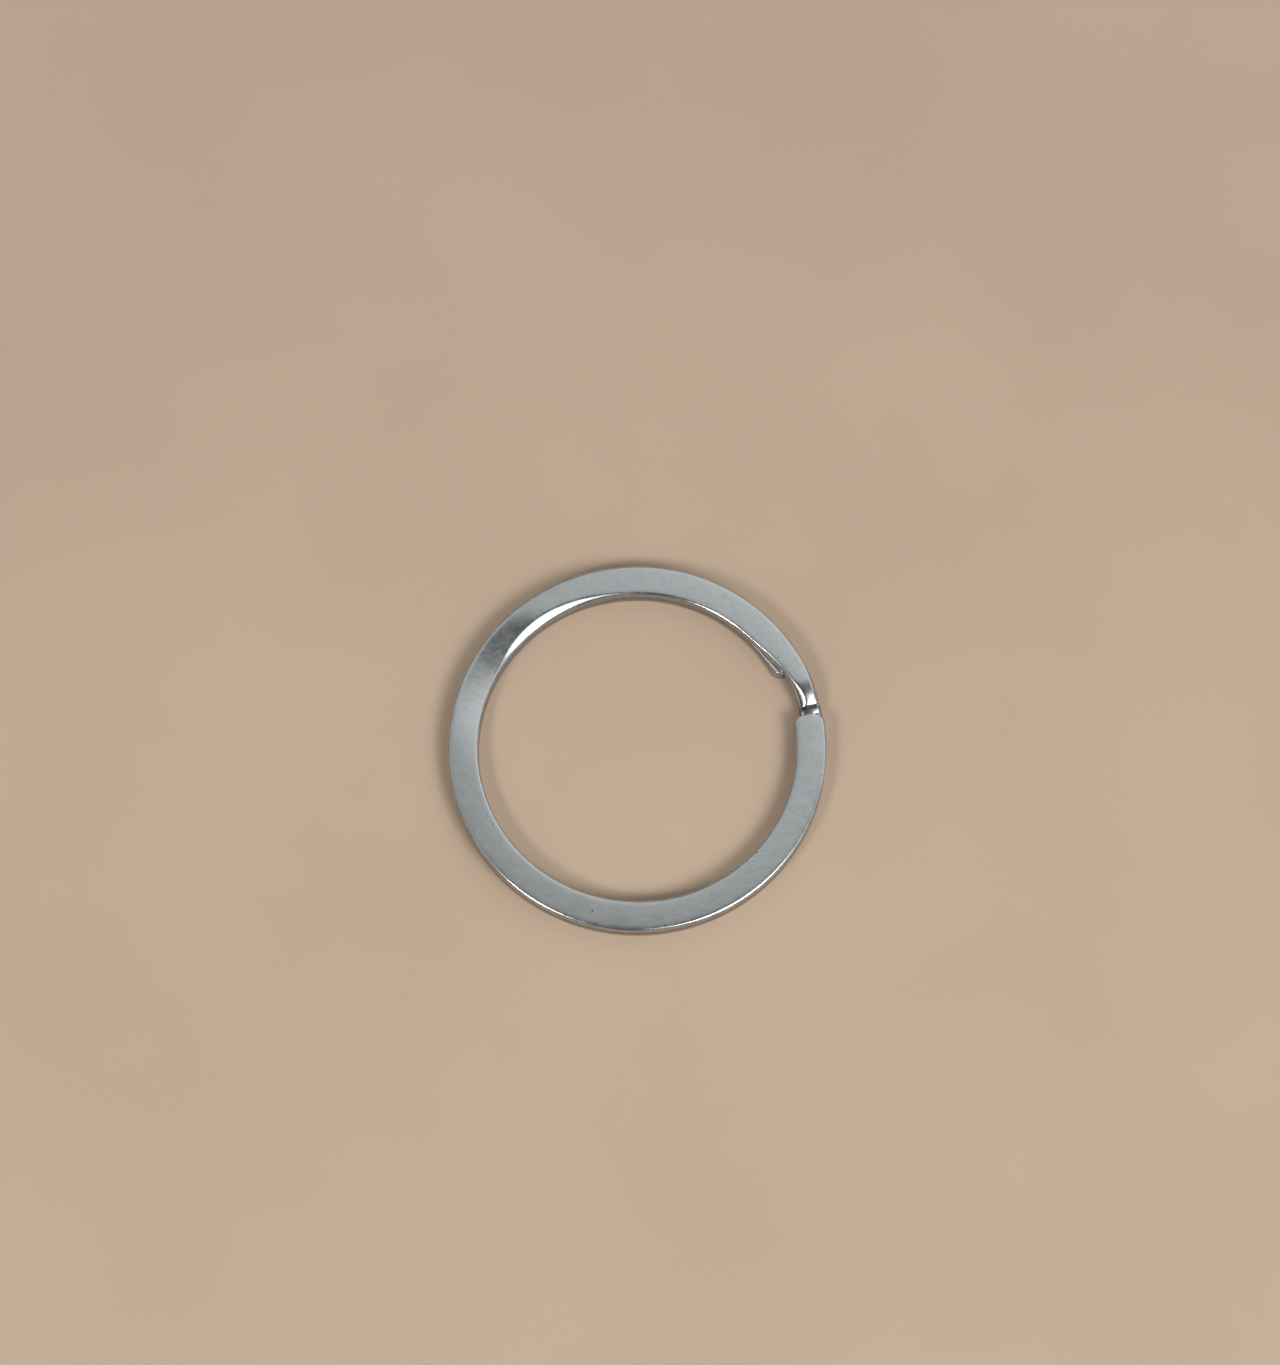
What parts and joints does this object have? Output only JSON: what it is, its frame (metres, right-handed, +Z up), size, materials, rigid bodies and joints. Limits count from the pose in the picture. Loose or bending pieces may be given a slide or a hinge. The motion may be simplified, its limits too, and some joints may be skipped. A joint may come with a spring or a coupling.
{
  "type": "split key ring",
  "caption": "Split key ring of flattened spring wire in two coils, with a stepped crossover and free ends that flex open so that a key slides on.",
  "frame": {"origin": "centre of the ring on the plane that its lower coil rests on", "axes": "+Z up along the ring's axis, +X through the middle of the crossover between the two free ends"},
  "size_m": [0.032, 0.032, 0.0021],
  "materials": {
    "nickel_plate": "satin"
  },
  "bodies": {
    "ring": {"crossover": "nickel_plate", "upper_back": "nickel_plate", "lower_front": "nickel_plate"},
    "upper_leaf_1_body": {"upper_leaf_1": "nickel_plate"},
    "upper_leaf_2_body": {"upper_leaf_2": "nickel_plate"},
    "upper_leaf_3_body": {"upper_leaf_3": "nickel_plate"},
    "upper_leaf_4_body": {"upper_leaf_4": "nickel_plate"},
    "upper_leaf_5_body": {"upper_leaf_5": "nickel_plate"},
    "upper_tip_body": {"upper_tip": "nickel_plate"},
    "lower_leaf_1_body": {"lower_leaf_1": "nickel_plate"},
    "lower_leaf_2_body": {"lower_leaf_2": "nickel_plate"},
    "lower_leaf_3_body": {"lower_leaf_3": "nickel_plate"},
    "lower_leaf_4_body": {"lower_leaf_4": "nickel_plate"},
    "lower_leaf_5_body": {"lower_leaf_5": "nickel_plate"},
    "lower_tip_body": {"lower_tip": "nickel_plate"}
  },
  "joints": [
    {"name": "upper_flex_1", "type": "hinge", "parent": "ring", "child": "upper_leaf_1_body", "pos_m": [-0.01182, -0.00874, 0.00205], "axis": [-0.8039, -0.5948, 0], "range_deg": [0, 2.5], "stiffness_Nm_per_rad": 4.5},
    {"name": "upper_flex_2", "type": "hinge", "parent": "upper_leaf_1_body", "child": "upper_leaf_2_body", "pos_m": [-0.00757, -0.0126, 0.00205], "axis": [-0.515, -0.8572, 0], "range_deg": [0, 2.5]},
    {"name": "upper_flex_3", "type": "hinge", "parent": "upper_leaf_2_body", "child": "upper_leaf_3_body", "pos_m": [-0.00217, -0.01454, 0.00205], "axis": [-0.1478, -0.989, 0], "range_deg": [0, 2.5]},
    {"name": "upper_flex_4", "type": "hinge", "parent": "upper_leaf_3_body", "child": "upper_leaf_4_body", "pos_m": [0.00356, -0.01426, 0.00205], "axis": [0.2419, -0.9703, 0], "range_deg": [0, 2.5]},
    {"name": "upper_flex_5", "type": "hinge", "parent": "upper_leaf_4_body", "child": "upper_leaf_5_body", "pos_m": [0.00874, -0.01182, 0.00205], "axis": [0.5948, -0.8039, 0], "range_deg": [0, 2.5]},
    {"name": "upper_flex_6", "type": "hinge", "parent": "upper_leaf_5_body", "child": "upper_tip_body", "pos_m": [0.0126, -0.00757, 0.00205], "axis": [0.8572, -0.515, 0], "range_deg": [0, 2.5]},
    {"name": "lower_flex_1", "type": "hinge", "parent": "ring", "child": "lower_leaf_1_body", "pos_m": [-0.01182, 0.00874, 0], "axis": [-0.8039, 0.5948, 0], "range_deg": [0, 2.5], "stiffness_Nm_per_rad": 4.5},
    {"name": "lower_flex_2", "type": "hinge", "parent": "lower_leaf_1_body", "child": "lower_leaf_2_body", "pos_m": [-0.00757, 0.0126, 0], "axis": [-0.515, 0.8572, 0], "range_deg": [0, 2.5]},
    {"name": "lower_flex_3", "type": "hinge", "parent": "lower_leaf_2_body", "child": "lower_leaf_3_body", "pos_m": [-0.00217, 0.01454, 0], "axis": [-0.1478, 0.989, 0], "range_deg": [0, 2.5]},
    {"name": "lower_flex_4", "type": "hinge", "parent": "lower_leaf_3_body", "child": "lower_leaf_4_body", "pos_m": [0.00356, 0.01426, 0], "axis": [0.2419, 0.9703, 0], "range_deg": [0, 2.5]},
    {"name": "lower_flex_5", "type": "hinge", "parent": "lower_leaf_4_body", "child": "lower_leaf_5_body", "pos_m": [0.00874, 0.01182, 0], "axis": [0.5948, 0.8039, 0], "range_deg": [0, 2.5]},
    {"name": "lower_flex_6", "type": "hinge", "parent": "lower_leaf_5_body", "child": "lower_tip_body", "pos_m": [0.0126, 0.00757, 0], "axis": [0.8572, 0.515, 0], "range_deg": [0, 2.5]}
  ],
  "couplings": [
    {"joint": "upper_flex_2", "follows": "upper_flex_1", "ratio": 1},
    {"joint": "upper_flex_3", "follows": "upper_flex_1", "ratio": 1},
    {"joint": "upper_flex_4", "follows": "upper_flex_1", "ratio": 1},
    {"joint": "upper_flex_5", "follows": "upper_flex_1", "ratio": 1},
    {"joint": "upper_flex_6", "follows": "upper_flex_1", "ratio": 1},
    {"joint": "lower_flex_2", "follows": "lower_flex_1", "ratio": 1},
    {"joint": "lower_flex_3", "follows": "lower_flex_1", "ratio": 1},
    {"joint": "lower_flex_4", "follows": "lower_flex_1", "ratio": 1},
    {"joint": "lower_flex_5", "follows": "lower_flex_1", "ratio": 1},
    {"joint": "lower_flex_6", "follows": "lower_flex_1", "ratio": 1}
  ]
}
